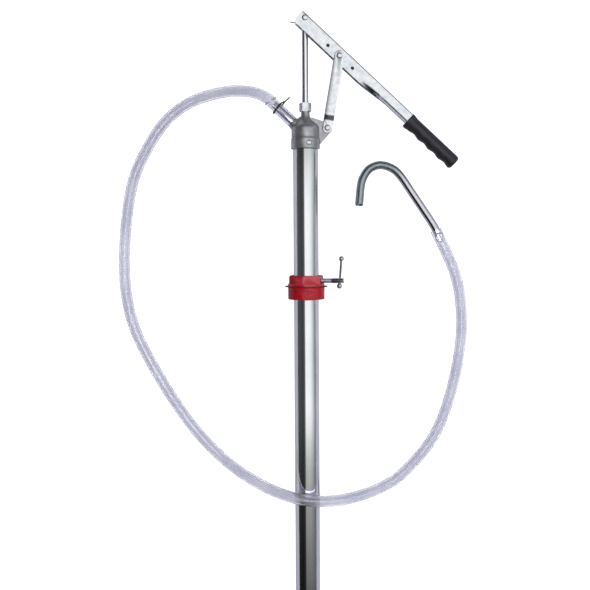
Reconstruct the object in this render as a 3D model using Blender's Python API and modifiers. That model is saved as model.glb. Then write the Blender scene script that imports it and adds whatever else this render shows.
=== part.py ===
"""Lever drum pump, lying on its side on a flat surface. Metres, +Z up.

The suction tube's axis is the Y axis. The origin is the middle of the closed end of the foot, and the head is
toward +Y. The lever and its links move in the XY plane. Stations along the pump are heights over the foot's end.
"""
import math

import bmesh
import bpy
from mathutils import Matrix, Vector

# Driving dimensions
GAP = 0.0003  # between pieces that touch
PIN_CLEARANCE = 0.0003  # round a pin, on the radius

TUBE_RADIUS = 0.020
TUBE_WALL = 0.0015
BUNG_STATION = 0.720  # the sealing face of the bung adapter
HEAD_STATION = BUNG_STATION + 0.2183  # the lower edge of the head

STRAINER_HEIGHT = 0.026
STRAINER_WALL = 0.002
STRAINER_SLOTS = 6
SLOT_WIDTH = 0.006
SLOT_HEIGHT = 0.012
SEAT_COLLAR = 0.006
SEAT_BORE = 0.011
FOOT_VALVE_LIFT = 0.005

ROD_RADIUS = 0.005
ROD_PIN_STATION = BUNG_STATION + 0.4219
ROD_EYE_RADIUS = 0.0075
ROD_EYE_THICKNESS = 0.007
PISTON_STATION = BUNG_STATION + 0.120  # the lower face of the piston at the top of its stroke
PISTON_HEIGHT = 0.012
PISTON_VALVE_LIFT = 0.004

HEAD_WALL = 0.0035
SKIRT_RADIUS = 0.0230
SKIRT_HEIGHT = 0.0167
BODY_HEIGHT = 0.0295  # to the foot of the dome
NECK_RADIUS = 0.0066
NECK_FOOT = 0.052
NECK_HEIGHT = 0.066
TUBE_ENGAGEMENT = 0.011
NUT_ACROSS_FLATS = 0.0166
NUT_FOOT = 0.0583
NUT_HEIGHT = 0.0138
PACKING_HEIGHT = 0.0035

SPIGOT_ANGLE = math.radians(46)  # from the pump's axis toward -X
SPIGOT_CROSSING = HEAD_STATION + 0.0225
SPIGOT_RADIUS = 0.0065
SPIGOT_WALL = 0.0012
SPIGOT_START = 0.019
BOSS_END = 0.0285
SPIGOT_END = 0.0690

EAR_PIN_X = 0.0347
EAR_PIN_STATION = BUNG_STATION + 0.2506
EAR_THICKNESS = 0.010
EAR_RADIUS = 0.0085
PIN_RADIUS = 0.003
PIN_HEAD_RADIUS = 0.0047
PIN_HEAD_HEIGHT = 0.002

LEVER_DIP = math.radians(43.1)  # below the X axis, toward the grip
LEVER_WIDTH = 0.018
LEVER_SHEET = 0.002
LEVER_DEPTH = 0.0222
LEVER_NECK_DEPTH = 0.0188
LEVER_ROD_PIN = (0.0098, 0.0062)  # along the lever and below its top edge
LEVER_LINK_PIN = (0.0897, 0.0128)
LEVER_HOLES = ((0.0657, 0.0133), (0.1181, 0.0131))
LEVER_HOLE_RADIUS = 0.0028
WEB_START = 0.034
CHANNEL_END = 0.150
GRIP_START = 0.237
GRIP_LENGTH = 0.102
GRIP_RADIUS = 0.0118
GRIP_COLLAR_RADIUS = 0.0130
GRIP_WALL = 0.0032
HANDLE_DROP = 0.0112  # the grip's axis below the lever's top edge
LINK_WIDTH = 0.0160
LINK_SHEET = 0.0025
JOGGLE_START = 0.011
JOGGLE_END = 0.021

HEX_ACROSS_FLATS = 0.050
HEX_TOP = 0.0172
HEX_FOOT = 0.0034
THREAD_RADIUS = 0.0298
THREAD_LENGTH = 0.0212
COLLAR_RADIUS = 0.0293
GASKET_RADIUS = 0.0346
GASKET_BORE = 0.0301
GASKET_THICKNESS = 0.0012
ADAPTER_BORE = 0.0206
BUSH_RADIUS = 0.0245
BUSH_LENGTH = 0.014

SCREW_TURN = math.radians(77.5)  # from +Z toward +X, round the pump's axis
SCREW_HEIGHT = 0.0086
SCREW_RADIUS = 0.004
SCREW_HEAD_RADIUS = 0.0044
SCREW_HEAD_START = 0.0420
SCREW_HEAD_END = 0.0610
PAD_THICKNESS = 0.0015
TOMMY_HOLE = 0.0546
TOMMY_RADIUS = 0.002
TOMMY_BALL_RADIUS = 0.0044
TOMMY_SPAN = 0.047
TOMMY_LEAN = math.radians(24)

SURFACE = -GASKET_RADIUS  # what the pump lies on
HOSE_RADIUS = 0.009
SPOUT_RADIUS = 0.0069
SPOUT_WALL = 0.0013
TIE_WIRE_RADIUS = 0.0009

HOSE_ROUTE = (
    (-0.0770, 0.3068, -0.0030), (-0.1039, 0.3115, -0.0085), (-0.1363, 0.3098, -0.0150), (-0.1836, 0.2965, -0.0225),
    (-0.2217, 0.2700, -0.0252), (-0.2510, 0.2310, -0.0256), (-0.2779, 0.1761, -0.0256), (-0.2915, 0.1080, -0.0256),
    (-0.2965, 0.0326, -0.0256), (-0.2930, -0.0218, -0.0256), (-0.2810, -0.0711, -0.0256), (-0.2577, -0.1219, -0.0256),
    (-0.2240, -0.1810, -0.0256), (-0.1845, -0.2380, -0.0250), (-0.1440, -0.2810, -0.0215), (-0.1086, -0.3065, -0.0095),
    (-0.0746, -0.3225, 0.0072), (-0.0414, -0.3335, 0.0225), (-0.0004, -0.3425, 0.0300), (0.0450, -0.3455, 0.0210),
    (0.0855, -0.3425, 0.0030), (0.1220, -0.3340, -0.0140), (0.1540, -0.3170, -0.0235), (0.1940, -0.2750, -0.0256),
    (0.2190, -0.2330, -0.0256), (0.2380, -0.1770, -0.0256), (0.2500, -0.1200, -0.0256), (0.2548, -0.0690, -0.0256),
    (0.2515, -0.0180, -0.0256), (0.2425, 0.0200, -0.0256),
)  # each point's X, its distance above the bung's sealing face, and its Z
SPOUT_ROUTE = (
    (0.2221, 0.0668), (0.2090, 0.0942), (0.1910, 0.1219), (0.1727, 0.1491), (0.1541, 0.1763), (0.1400, 0.1888),
    (0.1207, 0.1940), (0.1040, 0.1880), (0.0940, 0.1745), (0.0898, 0.1600), (0.0868, 0.1275),
)  # X and the distance above the bung's sealing face
SPOUT_HEIGHT = SURFACE + HOSE_RADIUS
SPOUT_BARB = 0.024  # how far the spout reaches into the hose


def clear_scene():
    for thing in list(bpy.data.objects):
        bpy.data.objects.remove(thing, do_unlink=True)


def collection(name):
    made = bpy.data.collections.new(name)
    bpy.context.scene.collection.children.link(made)
    return made


clear_scene()
PARTS = collection("drum_pump")
CUTTERS = collection("cutters")


def material(name, colour, roughness, metallic):
    made = bpy.data.materials.new(name)
    made.use_nodes = True
    shader = made.node_tree.nodes["Principled BSDF"]
    shader.inputs["Base Color"].default_value = (*colour, 1.0)
    shader.inputs["Roughness"].default_value = roughness
    shader.inputs["Metallic"].default_value = metallic
    return made


STEEL = material("bright_steel", (0.62, 0.63, 0.66), 0.2, 1.0)
CASTING = material("grey_casting", (0.16, 0.16, 0.17), 0.45, 0.6)
RED_PAINT = material("red_paint", (0.42, 0.02, 0.03), 0.35, 0.0)
BLACK_RUBBER = material("black_rubber", (0.02, 0.02, 0.022), 0.6, 0.0)
RED_FIBRE = material("red_fibre", (0.10, 0.015, 0.02), 0.7, 0.0)
CLEAR_PVC = material("clear_pvc", (0.6, 0.62, 0.68), 0.15, 0.0)
BRASS = material("brass", (0.55, 0.4, 0.15), 0.3, 1.0)
BLACK_WIRE = material("black_wire", (0.02, 0.02, 0.02), 0.4, 0.0)


def empty(name, parent=None, matrix=None):
    made = bpy.data.objects.new(name, None)
    PARTS.objects.link(made)
    made.parent = parent
    made.matrix_local = matrix or Matrix.Identity(4)
    return made


def add(name, data, finish, parent, matrix=None, home=PARTS):
    made = bpy.data.objects.new(name, data)
    home.objects.link(made)
    made.parent = parent
    made.matrix_local = matrix or Matrix.Identity(4)
    if finish:
        data.materials.append(finish)
    if home is CUTTERS:
        made.hide_render = True
        made.display_type = "WIRE"
    return made


def turned(name, profile, finish, parent, matrix=None, home=PARTS, steps=32):
    """A profile of (radius, height), outer side top to bottom and then inner side upward, turned round Z."""
    mesh = bpy.data.meshes.new(name)
    bm = bmesh.new()
    corners = [bm.verts.new((radius, 0.0, height)) for radius, height in profile]
    for first, second in zip(corners, corners[1:]):
        bm.edges.new((first, second))
    if profile[0][0] > 0.0:
        bm.edges.new((corners[-1], corners[0]))
    bm.to_mesh(mesh)
    bm.free()
    made = add(name, mesh, finish, parent, matrix, home)
    screw = made.modifiers.new("turn", "SCREW")
    screw.steps = steps
    screw.render_steps = steps
    screw.use_merge_vertices = True
    screw.merge_threshold = 0.00001
    return made


def ring(name, outer, inner, low, high, finish, parent, matrix=None, home=PARTS, steps=32):
    profile = ((outer, high), (outer, low), (inner, low), (inner, high))
    return turned(name, profile, finish, parent, matrix, home, steps)


def disc(name, radius, low, high, finish, parent, matrix=None, home=PARTS, steps=32):
    profile = ((0.0, high), (radius, high), (radius, low), (0.0, low))
    return turned(name, profile, finish, parent, matrix, home, steps)


def solid_of(curve_object, finish):
    """The curve object's shape as a closed mesh object in its place."""
    bpy.context.view_layer.update()
    graph = bpy.context.evaluated_depsgraph_get()
    mesh = bpy.data.meshes.new_from_object(curve_object.evaluated_get(graph))
    bm = bmesh.new()
    bm.from_mesh(mesh)
    bmesh.ops.remove_doubles(bm, verts=bm.verts, dist=0.00001)
    bmesh.ops.recalc_face_normals(bm, faces=bm.faces)
    bm.to_mesh(mesh)
    bm.free()
    name, parent, matrix = curve_object.name, curve_object.parent, curve_object.matrix_local.copy()
    home = curve_object.users_collection[0]
    bpy.data.objects.remove(curve_object, do_unlink=True)
    mesh.materials.clear()
    return add(name, mesh, finish, parent, matrix, home)


def plate(name, outline, low, high, finish, parent, matrix=None, home=PARTS):
    """A flat outline in XY, filled, from z = low to z = high."""
    curve = bpy.data.curves.new(name, "CURVE")
    curve.dimensions = "2D"
    curve.fill_mode = "BOTH"
    curve.extrude = (high - low) / 2
    spline = curve.splines.new("POLY")
    spline.points.add(len(outline) - 1)
    for point, (x, y) in zip(spline.points, outline):
        point.co = (x, y, 0.0, 1.0)
    spline.use_cyclic_u = True
    place = (matrix or Matrix.Identity(4)) @ Matrix.Translation((0.0, 0.0, (low + high) / 2))
    return solid_of(add(name, curve, None, parent, place, home), finish)


def box(name, low, high, finish, parent, matrix=None, home=PARTS):
    mesh = bpy.data.meshes.new(name)
    bm = bmesh.new()
    bmesh.ops.create_cube(bm, size=1.0)
    size = Vector(high) - Vector(low)
    bmesh.ops.scale(bm, vec=size, verts=bm.verts)
    bmesh.ops.translate(bm, vec=(Vector(low) + Vector(high)) / 2, verts=bm.verts)
    bm.to_mesh(mesh)
    bm.free()
    return add(name, mesh, finish, parent, matrix, home)


def smooth_route(points, count):
    """The points of a Catmull-Rom curve through the given points, spread evenly over its spans."""
    points = [Vector(point) for point in points]
    padded = [2 * points[0] - points[1], *points, 2 * points[-1] - points[-2]]
    route = []
    for index in range(count):
        place = index * (len(points) - 1) / (count - 1)
        span = min(int(place), len(points) - 2)
        t = place - span
        a, b, c, d = padded[span:span + 4]
        route.append(0.5 * ((2 * b) + (c - a) * t + (2 * a - 5 * b + 4 * c - d) * t**2
                            + (3 * b - a - 3 * c + d) * t**3))
    return route


def wire(name, points, radius, finish, parent, resolution=2, capped=True, home=PARTS):
    curve = bpy.data.curves.new(name, "CURVE")
    curve.dimensions = "3D"
    curve.bevel_depth = radius
    curve.bevel_resolution = resolution
    curve.use_fill_caps = capped
    spline = curve.splines.new("POLY")
    spline.points.add(len(points) - 1)
    for point, place in zip(spline.points, points):
        point.co = (*place, 1.0)
    return add(name, curve, finish, parent, home=home)


def boolean(target, tool, operation):
    modifier = target.modifiers.new(operation.lower(), "BOOLEAN")
    modifier.operation = operation
    modifier.object = tool
    modifier.solver = "EXACT"


def cut(target, *tools):
    for tool in tools:
        boolean(target, tool, "DIFFERENCE")


def join(target, *tools):
    for tool in tools:
        boolean(target, tool, "UNION")


def arc(centre, radius, start, end, count):
    """Points on an arc from the start angle to the end angle, in degrees."""
    angles = [math.radians(start + (end - start) * step / (count - 1)) for step in range(count)]
    return [(centre[0] + radius * math.cos(a), centre[1] + radius * math.sin(a)) for a in angles]


AXIS = Matrix.Rotation(-math.pi / 2, 4, "X")  # turns local Z to the pump's axis, +Y


def at_station(station):
    return Matrix.Translation((0.0, station, 0.0)) @ AXIS


def foot():
    """The strainer cup at the end, the valve seat, its disc and the guide that limits the lift."""
    root = empty("foot", matrix=AXIS)
    bore = TUBE_RADIUS - STRAINER_WALL
    top = STRAINER_HEIGHT
    cup = turned("foot_strainer", ((0.0, top), (TUBE_RADIUS, top), (TUBE_RADIUS, 0.0015),
                                   (TUBE_RADIUS - 0.0015, 0.0), (0.0, 0.0)), STEEL, root)
    hollow = disc("strainer_hollow", bore, 0.003, top + 0.01, None, root, home=CUTTERS)
    cut(cup, hollow)
    for index in range(STRAINER_SLOTS // 2):
        turn = Matrix.Rotation(0.02 + index * 2 * math.pi / STRAINER_SLOTS, 4, "Z")
        low = (-TUBE_RADIUS * 1.2, -SLOT_WIDTH / 2, 0.006)
        high = (TUBE_RADIUS * 1.2, SLOT_WIDTH / 2, 0.006 + SLOT_HEIGHT)
        cut(cup, box(f"strainer_slot_{index}", low, high, None, root, turn, CUTTERS))
    low = top + GAP
    high = low + SEAT_COLLAR
    tube_bore = TUBE_RADIUS - TUBE_WALL
    turned("foot_valve_seat", ((tube_bore - GAP, high + 0.006), (tube_bore - GAP, high), (TUBE_RADIUS, high),
                               (TUBE_RADIUS, low), (bore - GAP, low), (bore - GAP, low - 0.004),
                               (SEAT_BORE, low - 0.004), (SEAT_BORE, high + 0.006)), BRASS, root)
    seat = high + 0.006 + GAP
    disc("foot_valve_disc", SEAT_BORE + 0.0025, seat, seat + 0.003, BLACK_RUBBER, root)
    stop = seat + 0.003 + FOOT_VALVE_LIFT + GAP
    guide = ring("foot_valve_guide", tube_bore - GAP, tube_bore - 0.003, high + 0.006 + GAP, stop + 0.003, STEEL, root)
    bar = box("guide_bar", (1e-3 - tube_bore, -0.003, stop), (tube_bore - 1e-3, 0.003, stop + 0.002), None, root,
              home=CUTTERS)
    join(guide, bar)
    return high + GAP


def barrel(tube_start):
    tube_end = HEAD_STATION + TUBE_ENGAGEMENT
    ring("suction_tube", TUBE_RADIUS, TUBE_RADIUS - TUBE_WALL, tube_start, tube_end, STEEL, empty("barrel", matrix=AXIS),
         steps=32)


def spigot_place():
    """Local Z runs out along the outlet, from where its axis crosses the pump's axis."""
    return Matrix.Translation((0.0, SPIGOT_CROSSING, 0.0)) @ Matrix.Rotation(SPIGOT_ANGLE, 4, "Z") @ AXIS


def head():
    """The cast head with its ear and outlet boss, the gland and the screw that locks the head on the tube."""
    root = empty("head", matrix=at_station(HEAD_STATION))
    neck_bore = ROD_RADIUS + PIN_CLEARANCE
    dome = [(SKIRT_RADIUS - 0.0008 - 0.0062 * (1 - math.cos(a)), BODY_HEIGHT + 0.009 * math.sin(a))
            for a in (0.0, 0.45, 0.9, 1.3)]
    outside = ((0.0, NECK_HEIGHT), (NECK_RADIUS, NECK_HEIGHT), (NECK_RADIUS, NECK_FOOT), (0.0103, 0.0441),
               *dome[::-1], (SKIRT_RADIUS - 0.0008, SKIRT_HEIGHT + 0.0012), (SKIRT_RADIUS - 0.0014, SKIRT_HEIGHT + 0.0006),
               (SKIRT_RADIUS, SKIRT_HEIGHT), (SKIRT_RADIUS, 0.0), (0.0, 0.0))
    casting = turned("pump_head", outside, CASTING, root, steps=32)
    ear_x, ear_z = EAR_PIN_X, EAR_PIN_STATION - HEAD_STATION
    outline = [(0.0, 0.0490), (0.0108, 0.0490), (0.0250, 0.0440)]
    outline += arc((ear_x, ear_z), EAR_RADIUS, 60, -60, 7)
    outline += [(0.0237, 0.0077), (0.0, 0.0077)]
    flat = Matrix.Rotation(math.pi / 2, 4, "X")  # an outline in XY stands in local XZ
    ear = plate("ear", outline, -EAR_THICKNESS / 2, EAR_THICKNESS / 2, None, root, flat, CUTTERS)
    boss_root = empty("outlet", matrix=spigot_place())
    boss = turned("outlet_boss", ((0.0, BOSS_END), (0.0087, BOSS_END), (0.0106, 0.016), (0.0106, 0.008),
                                  (0.0, 0.008)), None, boss_root, home=CUTTERS, steps=24)
    rib_outline = [(-0.004, 0.0440), (-0.004, 0.0530), (-0.0120, 0.0485), (-0.0170, 0.0400), (-0.0100, 0.0300)]
    rib = plate("outlet_rib", rib_outline, -0.002, 0.002, None, root, flat, CUTTERS)
    join(casting, ear, boss, rib)
    socket = TUBE_RADIUS + GAP
    cavity = turned("head_cavity", ((0.0, 0.0430), (neck_bore, 0.0430), (SKIRT_RADIUS - HEAD_WALL - 0.004, 0.0300),
                                    (SKIRT_RADIUS - HEAD_WALL - 0.003, TUBE_ENGAGEMENT + GAP),
                                    (socket, TUBE_ENGAGEMENT + GAP), (socket, -0.01), (0.0, -0.01)),
                    None, root, home=CUTTERS)
    neck = disc("neck_bore", neck_bore, 0.03, NECK_HEIGHT + 0.01, None, root, home=CUTTERS)
    outlet = disc("outlet_bore", SPIGOT_RADIUS + GAP, 0.004, BOSS_END + 0.01, None, boss_root, home=CUTTERS)
    ear_hole = disc("ear_hole", PIN_RADIUS + PIN_CLEARANCE, -0.02, 0.02, None, None,
                    Matrix.Translation((EAR_PIN_X, EAR_PIN_STATION, 0.0)), CUTTERS)
    lock_turn = math.radians(13)
    lock_root = empty("lock", matrix=Matrix.Translation((0.0, HEAD_STATION + 0.0080, 0.0))
                      @ Matrix.Rotation(lock_turn, 4, "Y"))
    lock_hole = disc("lock_hole", 0.0036 + GAP, 0.018, 0.03, None, lock_root, home=CUTTERS)
    cut(casting, cavity, neck, outlet, ear_hole, lock_hole)
    screw = disc("head_set_screw", 0.0036, socket + GAP, SKIRT_RADIUS + 0.0008, STEEL, lock_root, steps=20)
    slot = box("screw_slot", (-0.005, -0.0005, SKIRT_RADIUS - 0.0004), (0.005, 0.0005, 0.03), None, lock_root,
               home=CUTTERS)
    cut(screw, slot)
    spigot = (SPIGOT_RADIUS, SPIGOT_RADIUS - SPIGOT_WALL, SPIGOT_START, SPIGOT_END)
    ring("outlet_spigot", *spigot, STEEL, boss_root, steps=24)
    ring("hose_inlet_end", HOSE_RADIUS + 0.0003, SPIGOT_RADIUS + GAP, BOSS_END + GAP, SPIGOT_END, CLEAR_PVC,
         boss_root, steps=24)
    ring("gland_packing", NECK_RADIUS, neck_bore, NECK_HEIGHT + GAP, NECK_HEIGHT + GAP + PACKING_HEIGHT,
         BLACK_RUBBER, root)
    nut_corner = NUT_ACROSS_FLATS / math.sqrt(3)
    top = NUT_FOOT + NUT_HEIGHT
    turn = Matrix.Rotation(math.radians(30), 4, "Z")
    nut = disc("packing_nut", nut_corner, NUT_FOOT, top, STEEL, root, turn, steps=6)
    chamfer = turned("nut_chamfer", ((0.0, top + 0.001), (nut_corner - 0.0012, top + 0.001), (nut_corner, top - 0.001),
                                     (nut_corner + 0.001, NUT_FOOT - 0.002), (0.0, NUT_FOOT - 0.002)),
                     None, root, home=CUTTERS)
    boolean(nut, chamfer, "INTERSECT")
    pocket_top = NECK_HEIGHT + PACKING_HEIGHT + 3 * GAP
    pocket = turned("nut_pocket", ((0.0, top + 0.01), (neck_bore, top + 0.01), (neck_bore, pocket_top),
                                   (NECK_RADIUS + GAP, pocket_top), (NECK_RADIUS + GAP, NUT_FOOT - 0.01),
                                   (0.0, NUT_FOOT - 0.01)), None, root, home=CUTTERS)
    cut(nut, pocket)


def hose_tie():
    """A twist of black wire round the hose on the outlet, with two tails."""
    root = empty("tie", matrix=spigot_place() @ Matrix.Translation((0.0, 0.0, 0.0590)))
    radius = HOSE_RADIUS + 0.0003 + TIE_WIRE_RADIUS + GAP
    pitch = 0.0026
    turns = [(radius * math.cos(a), radius * math.sin(a), pitch * a / math.tau)
             for a in (math.radians(step) for step in range(0, 361, 15))]
    points = [(radius + 0.0015, -0.013, -0.0012), (radius + 0.0002, -0.005, -0.0004), *turns,
              (radius + 0.0004, 0.005, pitch + 0.0004), (radius + 0.0020, 0.009, pitch + 0.0030)]
    wire("hose_tie", points, TIE_WIRE_RADIUS, BLACK_WIRE, root, resolution=1)


def piston():
    """The rod with its flat eye, and on its lower end the piston, its seal, its valve disc and the nut."""
    root = empty("rod", matrix=at_station(ROD_PIN_STATION))
    foot_z = PISTON_STATION - ROD_PIN_STATION
    rod = disc("piston_rod", ROD_RADIUS, foot_z - 0.012, -ROD_EYE_RADIUS * 0.6, STEEL, root, steps=24)
    flat = Matrix.Rotation(math.pi / 2, 4, "X")
    eye = disc("rod_eye", ROD_EYE_RADIUS, -ROD_EYE_THICKNESS / 2, ROD_EYE_THICKNESS / 2, None, root, flat, CUTTERS, 24)
    eye_hole = disc("rod_eye_hole", PIN_RADIUS + PIN_CLEARANCE, -0.01, 0.01, None, root, flat, CUTTERS, 20)
    join(rod, eye)
    cut(rod, eye_hole)
    bore = TUBE_RADIUS - TUBE_WALL
    inner = ROD_RADIUS + PIN_CLEARANCE
    low, high = foot_z, foot_z + PISTON_HEIGHT
    body = turned("piston_body", ((bore - 0.0006, high), (bore - 0.0006, high - 0.003), (bore - 0.0030, high - 0.003),
                                  (bore - 0.0030, low + 0.003), (bore - 0.0006, low + 0.003), (bore - 0.0006, low),
                                  (inner, low), (inner, high)), BRASS, root)
    for index in range(4):
        turn = Matrix.Rotation(index * math.pi / 2, 4, "Z") @ Matrix.Translation((0.0102, 0.0, 0.0))
        cut(body, disc(f"piston_port_{index}", 0.0025, low - 0.01, high + 0.01, None, root, turn, CUTTERS, 12))
    ring("piston_seal", bore - GAP, bore - 0.0030 + GAP, low + 0.003 + GAP, high - 0.003 - GAP, BLACK_RUBBER, root)
    ring("piston_valve_disc", 0.0140, inner, high + GAP, high + GAP + 0.002, BLACK_RUBBER, root)
    stop = high + 2 * GAP + 0.002 + PISTON_VALVE_LIFT
    ring("piston_valve_stop", 0.0090, inner, stop, stop + 0.003, STEEL, root, steps=24)
    nut = disc("piston_nut", 0.0090, foot_z - 0.009, foot_z - GAP, STEEL, root, steps=6)
    cut(nut, disc("piston_nut_bore", inner, foot_z - 0.02, foot_z + 0.01, None, root, home=CUTTERS))


def rotated(x, y, angle):
    return (x * math.cos(angle) - y * math.sin(angle), x * math.sin(angle) + y * math.cos(angle))


def lever_pin():
    """The link's upper pin in the XY plane, which puts the rod's pin on the pump's axis."""
    along = LEVER_LINK_PIN[0] - LEVER_ROD_PIN[0]
    below = LEVER_LINK_PIN[1] - LEVER_ROD_PIN[1]
    x, y = rotated(along, -below, -LEVER_DIP)
    return (x, ROD_PIN_STATION + y)


def rivet(name, reach, parent, matrix, start=None, head=PIN_HEAD_HEIGHT):
    """A pin along Z with a domed head beyond reach at both ends, or from start upward when that is given."""
    top = reach + GAP
    crown = ((0.0, top + head), (PIN_HEAD_RADIUS * 0.7, top + head), (PIN_HEAD_RADIUS, top + head * 0.5),
             (PIN_HEAD_RADIUS, top), (PIN_RADIUS, top))
    if start is None:
        outline = (*crown, *[(radius, -height) for radius, height in crown[::-1]])
    else:
        outline = (*crown, (PIN_RADIUS, start), (0.0, start))
    return turned(name, outline, STEEL, parent, matrix, steps=20)


def lever():
    """The pressed channel, its handle, the grip and the pins that it carries. Local X runs toward the grip."""
    pin_x, pin_y = lever_pin()
    place = Matrix.Translation((pin_x, pin_y, 0.0)) @ Matrix.Rotation(-LEVER_DIP, 4, "Z")
    root = empty("lever_pivot", matrix=place @ Matrix.Translation((-LEVER_LINK_PIN[0], LEVER_LINK_PIN[1], 0.0)))
    half = LEVER_WIDTH / 2
    inner = half - LEVER_SHEET
    outline = [(0.0, 0.0), (GRIP_START, 0.0), (GRIP_START, -LEVER_NECK_DEPTH), (0.190, -LEVER_NECK_DEPTH - 0.0005),
               (0.120, -LEVER_DEPTH), (0.030, -LEVER_DEPTH - 0.001)]
    outline += arc((0.0085, -0.0155), 0.0085, -80, -180, 5)
    body = plate("lever", outline, -half, half, STEEL, root)
    handle_matrix = Matrix.Translation((0.0, -HANDLE_DROP, 0.0)) @ Matrix.Rotation(math.pi / 2, 4, "Y")
    handle_radius = GRIP_RADIUS - GRIP_WALL - GAP
    handle_end = GRIP_START + GRIP_LENGTH - GRIP_WALL - GAP
    handle = disc("handle_core", handle_radius, GRIP_START - 0.004, handle_end, None, root, handle_matrix, CUTTERS, 24)
    join(body, handle)
    channel = box("lever_channel", (WEB_START, -0.05, -inner), (CHANNEL_END, -LEVER_SHEET, inner), None, root,
                  home=CUTTERS)
    mouth = box("lever_mouth", (-0.01, -0.05, -inner), (WEB_START + 0.001, 0.01, inner), None, root, home=CUTTERS)
    seam = box("lever_seam", (CHANNEL_END - 0.001, -0.05, -0.004), (GRIP_START - 0.020, -0.004, 0.004), None, root,
               home=CUTTERS)
    cut(body, channel, mouth, seam)
    pins = (LEVER_ROD_PIN, LEVER_LINK_PIN)
    for index, (along, below) in enumerate((*pins, *LEVER_HOLES)):
        radius = PIN_RADIUS + PIN_CLEARANCE if index < len(pins) else LEVER_HOLE_RADIUS
        start = -0.02 if index < len(pins) else 0.0  # the two spare holes go through the front cheek only
        centre = Matrix.Translation((along, -below, 0.0))
        cut(body, disc(f"lever_hole_{index}", radius, start, 0.02, None, root, centre, CUTTERS, 20))
    rod_pin = Matrix.Translation((LEVER_ROD_PIN[0], -LEVER_ROD_PIN[1], 0.0))
    start = ROD_EYE_THICKNESS / 2 + GAP
    rivet("rod_pin_front", half, root, rod_pin, start)
    back = rod_pin @ Matrix.Rotation(math.pi, 4, "X")
    rivet("rod_pin_back", half, root, back, start, head=0.006)
    grip_matrix = Matrix.Translation((0.0, -HANDLE_DROP, 0.0)) @ Matrix.Rotation(math.pi / 2, 4, "Y")
    end = GRIP_START + GRIP_LENGTH
    start_x = GRIP_START + GAP
    tip = [(GRIP_RADIUS - 0.005 * (1 - math.cos(a)), end - 0.005 * (1 - math.sin(a))) for a in (0.0, 0.5, 1.1, 1.57)]
    turned("grip", ((0.0, end), *tip[::-1], (GRIP_RADIUS, start_x + 0.009),
                    (GRIP_COLLAR_RADIUS, start_x + 0.005), (GRIP_COLLAR_RADIUS, start_x),
                    (handle_radius + GAP, start_x), (handle_radius + GAP, end - GRIP_WALL), (0.0, end - GRIP_WALL)),
           BLACK_RUBBER, root, grip_matrix, steps=24)


def split_pin():
    """The split pin through the back end of the rod pin: two legs that lie side by side, spread at their ends."""
    along, below = LEVER_ROD_PIN
    pin_x, pin_y = lever_pin()
    place = Matrix.Translation((pin_x, pin_y, 0.0)) @ Matrix.Rotation(-LEVER_DIP, 4, "Z")
    corner = place @ Matrix.Translation((-LEVER_LINK_PIN[0], LEVER_LINK_PIN[1], 0.0))
    root = empty("split", matrix=corner @ Matrix.Translation((along, -below, -LEVER_WIDTH / 2 - 0.0042)))
    pin = bpy.data.objects["rod_pin_back"]
    reach = PIN_HEAD_RADIUS + 0.0012
    turn = Matrix.Rotation(math.radians(223), 4, "Z") @ Matrix.Rotation(math.pi / 2, 4, "Y")
    hole = disc("split_pin_hole", 0.0011 + GAP, -0.01, 0.01, None, root, turn, CUTTERS, 12)
    cut(pin, hole)
    direction = Vector((math.cos(math.radians(223)), math.sin(math.radians(223)), 0.0))
    points = [-reach * direction, reach * direction, (reach + 0.003) * direction + Vector((0.0006, -0.0006, 0.0)),
              (reach + 0.008) * direction + Vector((0.0030, -0.0030, 0.0))]
    wire("split_pin", points, 0.0010, STEEL, root)


def links():
    """The two joggled plates between the head's ear and the lever, and their pins. Local Y runs up the link."""
    pin_x, pin_y = lever_pin()
    run = Vector((pin_x - EAR_PIN_X, pin_y - EAR_PIN_STATION))
    length = run.length
    angle = math.atan2(-run.x, run.y)
    root = empty("link_pivot", matrix=Matrix.Translation((EAR_PIN_X, EAR_PIN_STATION, 0.0))
                 @ Matrix.Rotation(angle, 4, "Z"))
    half = LINK_WIDTH / 2
    top_in = LEVER_WIDTH / 2 + GAP
    foot_in = EAR_THICKNESS / 2 + GAP
    shape = arc((0.0, 0.0), half, 180, 360, 13) + arc((0.0, length), half, 0, 180, 13)
    side = [(-half - 0.001, foot_in), (JOGGLE_START, foot_in), (JOGGLE_END, top_in), (length + half + 0.001, top_in),
            (length + half + 0.001, top_in + LINK_SHEET), (JOGGLE_END, top_in + LINK_SHEET),
            (JOGGLE_START, foot_in + LINK_SHEET), (-half - 0.001, foot_in + LINK_SHEET)]
    holes = [disc(f"link_hole_{index}", PIN_RADIUS + PIN_CLEARANCE, -0.03, 0.03, None, root,
                  Matrix.Translation((0.0, height, 0.0)), CUTTERS, 20) for index, height in enumerate((0.0, length))]
    for name, sign in (("link_front", 1), ("link_back", -1)):
        plan = plate(f"{name}_plan", shape, -0.02, 0.02, None, root, home=CUTTERS)
        # local XYZ of the outline goes to the link's Y, Z and X
        stand = Matrix(((0, 0, 1, 0), (1, 0, 0, 0), (0, 1, 0, 0), (0, 0, 0, 1)))
        flank = [(along, sign * out) for along, out in side]
        strip = plate(name, flank, -half - 0.002, half + 0.002, STEEL, root, stand)
        boolean(strip, plan, "INTERSECT")
        cut(strip, *holes)
    rivet("link_bottom_pin", foot_in + LINK_SHEET, root, Matrix.Identity(4))
    rivet("link_top_pin", top_in + LINK_SHEET, root, Matrix.Translation((0.0, length, 0.0)))


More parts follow.
